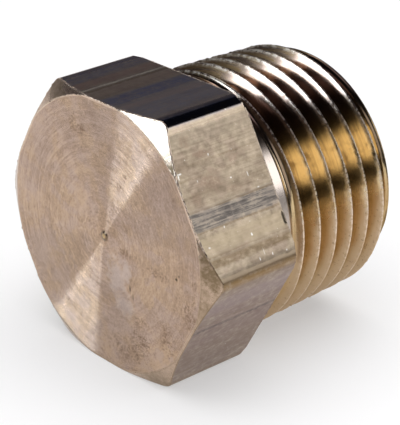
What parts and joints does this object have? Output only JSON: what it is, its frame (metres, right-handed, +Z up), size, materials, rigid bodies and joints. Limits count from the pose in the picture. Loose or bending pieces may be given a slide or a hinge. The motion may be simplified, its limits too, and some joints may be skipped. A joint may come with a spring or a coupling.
{
  "type": "pipe plug",
  "caption": "Brass hexagon head pipe plug with a tapered male pipe thread and a cored end, for closing a threaded port.",
  "frame": {"origin": "on the plug's axis at the shoulder, where the back of the hexagon head meets the shank", "axes": "+Y along the axis out of the threaded end, +Z up and square to the upper flat of the head, X from corner to corner"},
  "size_m": [0.025, 0.0214, 0.022],
  "materials": {
    "turned_brass": "bare brass, turned face and thread, drawn flats, slightly tarnished"
  },
  "bodies": {
    "root": {"plug": "turned_brass"}
  },
  "joints": []
}
